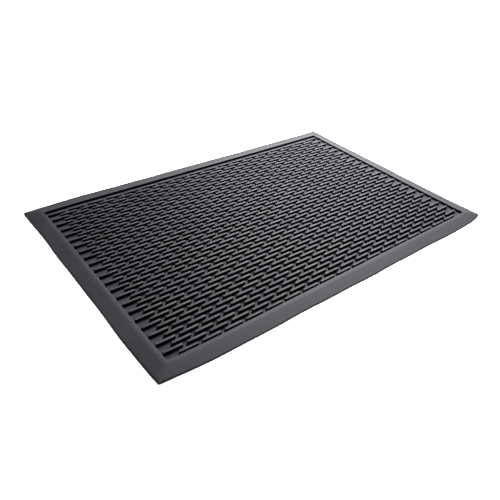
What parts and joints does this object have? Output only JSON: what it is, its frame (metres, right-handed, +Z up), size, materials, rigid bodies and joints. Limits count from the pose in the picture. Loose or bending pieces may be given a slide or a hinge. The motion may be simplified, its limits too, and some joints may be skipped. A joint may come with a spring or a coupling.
{
  "type": "door mat",
  "caption": "Rectangular moulded rubber scraper door mat: thin base sheet with sloping mitred border and staggered rows of short upright scraper bars.",
  "frame": {"origin": "middle of the flat underside, on the floor that the mat lies on", "axes": "+X along the long sides towards the right, +Y across the mat from the front edge to the back edge, +Z up out of the bars"},
  "size_m": [0.9144, 0.6096, 0.0079],
  "materials": {
    "sheet_rubber": "matte moulded black rubber with a fine pebbled skin",
    "border_rubber": "satin moulded black rubber, smooth on the slope",
    "bar_rubber": "matte moulded black rubber, slightly worn on the tops"
  },
  "bodies": {
    "root": {"base_sheet": "sheet_rubber", "border_front": "border_rubber", "border_back": "border_rubber", "border_left": "border_rubber", "border_right": "border_rubber", "scraper_row_01": "bar_rubber", "scraper_row_02": "bar_rubber", "scraper_row_03": "bar_rubber", "scraper_row_04": "bar_rubber", "scraper_row_05": "bar_rubber", "scraper_row_06": "bar_rubber", "scraper_row_07": "bar_rubber", "scraper_row_08": "bar_rubber", "scraper_row_09": "bar_rubber", "scraper_row_10": "bar_rubber", "scraper_row_11": "bar_rubber", "scraper_row_12": "bar_rubber", "scraper_row_13": "bar_rubber", "scraper_row_14": "bar_rubber", "scraper_row_15": "bar_rubber", "scraper_row_16": "bar_rubber", "scraper_row_17": "bar_rubber", "scraper_row_18": "bar_rubber", "scraper_row_19": "bar_rubber", "scraper_row_20": "bar_rubber", "scraper_row_21": "bar_rubber", "scraper_row_22": "bar_rubber", "scraper_row_23": "bar_rubber", "scraper_row_24": "bar_rubber", "scraper_row_25": "bar_rubber", "scraper_row_26": "bar_rubber", "scraper_row_27": "bar_rubber", "scraper_row_28": "bar_rubber", "scraper_row_29": "bar_rubber", "scraper_row_30": "bar_rubber", "scraper_row_31": "bar_rubber", "scraper_row_32": "bar_rubber", "scraper_row_33": "bar_rubber", "scraper_row_34": "bar_rubber", "scraper_row_35": "bar_rubber", "scraper_row_36": "bar_rubber", "scraper_row_37": "bar_rubber", "scraper_row_38": "bar_rubber", "scraper_row_39": "bar_rubber", "scraper_row_40": "bar_rubber", "scraper_row_41": "bar_rubber", "scraper_row_42": "bar_rubber", "scraper_row_43": "bar_rubber", "scraper_row_44": "bar_rubber"}
  },
  "joints": []
}
